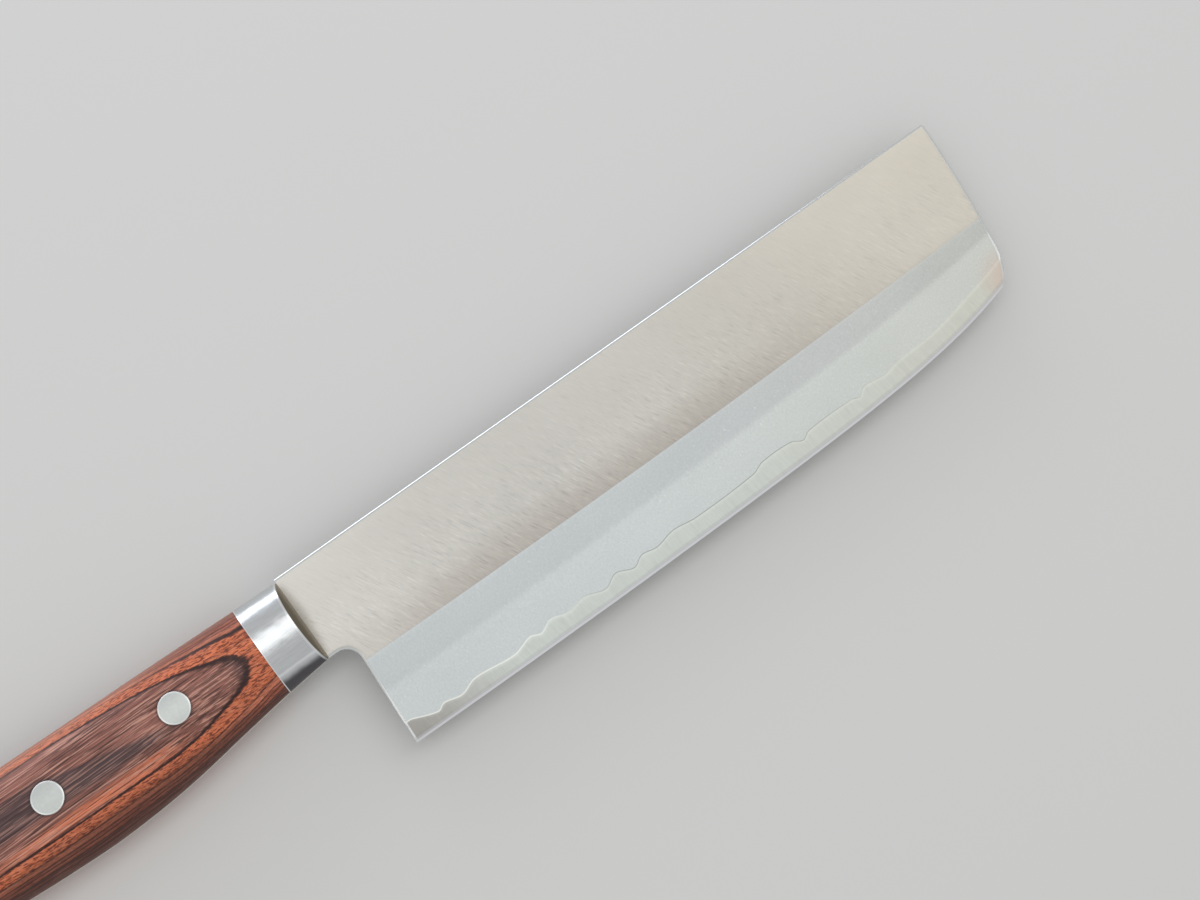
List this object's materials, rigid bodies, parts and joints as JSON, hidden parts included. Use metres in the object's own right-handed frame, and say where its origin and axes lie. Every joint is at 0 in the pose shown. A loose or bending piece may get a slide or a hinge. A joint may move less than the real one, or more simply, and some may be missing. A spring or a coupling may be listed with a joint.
{
  "type": "nakiri knife",
  "caption": "Vegetable knife with a straight-edged laminated rectangular blade, brazed bolster and riveted full-tang wooden handle.",
  "frame": {"origin": "where the blade leaves the bolster: middle of the blade's thickness, on the line of the rivets", "axes": "+X along the knife to the tip, +Y up to the spine, +Z out of the front face (the knife lies flat, as pictured)"},
  "size_m": [0.2857, 0.0451, 0.016],
  "materials": {
    "core_steel": "ground, very fine grain, faintly warm",
    "cladding_steel": "satin brushed flats, bead-blasted ground facets",
    "bolster_steel": "polished over light brushing",
    "scale_wood": "resin-laminated red wood, satin",
    "rivet_metal": "ground flush, satin"
  },
  "bodies": {
    "root": {"core_steel": "core_steel", "cladding_front": "cladding_steel", "cladding_back": "cladding_steel", "bolster_front": "bolster_steel", "bolster_back": "bolster_steel", "scale_front": "scale_wood", "scale_back": "scale_wood", "rivet_post_fore": "rivet_metal", "rivet_sleeve_fore": "rivet_metal", "rivet_post_mid": "rivet_metal", "rivet_sleeve_mid": "rivet_metal", "rivet_post_rear": "rivet_metal", "rivet_sleeve_rear": "rivet_metal"}
  },
  "joints": []
}
